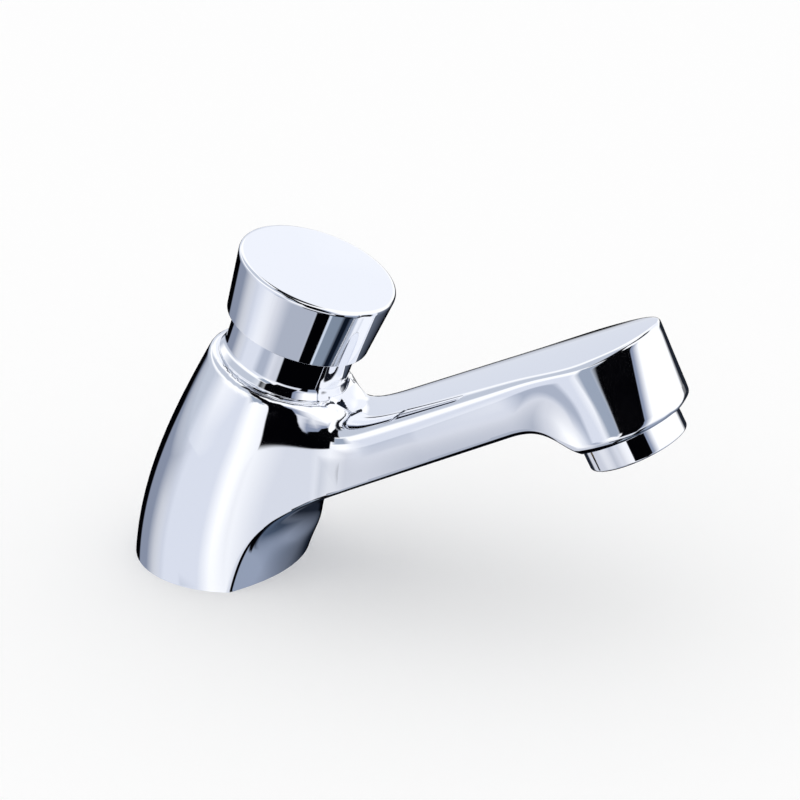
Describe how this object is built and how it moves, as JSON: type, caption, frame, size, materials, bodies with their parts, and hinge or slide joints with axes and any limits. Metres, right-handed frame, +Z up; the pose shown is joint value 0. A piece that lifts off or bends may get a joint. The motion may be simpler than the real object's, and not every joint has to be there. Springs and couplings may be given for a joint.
{
  "type": "basin tap",
  "caption": "Self-closing basin tap with a leaning cast body, a rising spout, a push button over a metering cartridge, and a threaded tail.",
  "frame": {"origin": "centre of the round base, on the face that rests on the basin", "axes": "+Z up from the basin; +X along the spout; +Y square to the tap's plane of symmetry"},
  "size_m": [0.135, 0.05, 0.1318],
  "materials": {
    "chromed_body": "bright chrome plate on cast brass",
    "chromed_sleeve": "bright chrome plate on turned brass",
    "chromed_button": "bright chrome plate on turned brass",
    "chromed_aerator": "bright chrome plate on turned brass",
    "steel_fasteners": "bright stainless",
    "stem_steel": "turned and ground stainless",
    "spring_wire": "drawn stainless wire",
    "cartridge_brass": "turned",
    "tail_brass": "threaded, turned",
    "nut_brass": "pressed and tapped",
    "washer_steel": "zinc plated",
    "clamp_rubber": "moulded, matte",
    "gasket_rubber": "foamed, matte",
    "seal_rubber": "moulded, matte",
    "white_plastic": "moulded",
    "mesh_steel": "perforated sheet"
  },
  "bodies": {
    "root": {"tap_body": "chromed_body", "neck_sleeve": "chromed_sleeve", "return_spring": "spring_wire", "cartridge_body": "cartridge_brass", "gland": "cartridge_brass", "stem_oring": "seal_rubber", "cartridge_oring": "seal_rubber", "cartridge_washer": "seal_rubber", "valve_seat": "stem_steel", "tail_shank": "tail_brass", "shank_washer": "white_plastic", "inlet_strainer": "mesh_steel", "flow_restrictor": "white_plastic", "base_gasket": "gasket_rubber", "clamp_washer": "clamp_rubber", "slip_washer": "washer_steel", "backnut": "nut_brass", "aerator_shell": "chromed_aerator", "aerator_washer": "seal_rubber", "aerator_diffuser": "white_plastic", "aerator_insert": "white_plastic", "aerator_screen": "mesh_steel"},
    "spring_cap": {"spring_seat": "stem_steel"},
    "plunger": {"push_button": "chromed_button", "lock_nut": "steel_fasteners", "stem": "stem_steel", "piston": "cartridge_brass", "piston_cup": "seal_rubber", "valve_washer": "seal_rubber", "valve_nut": "steel_fasteners"}
  },
  "joints": [
    {"name": "button_press", "type": "slide", "parent": "root", "child": "spring_cap", "axis": [-0.3387, 0, -0.9409], "range_m": [0, 0.007], "stiffness_N_per_m": 1500, "springref_m": -0.008, "deforming": ["return_spring"]},
    {"name": "button_turn", "type": "hinge", "parent": "spring_cap", "child": "plunger", "pos_m": [-0.0052, 0, 0], "axis": [0.3387, 0, 0.9409], "continuous": true}
  ]
}
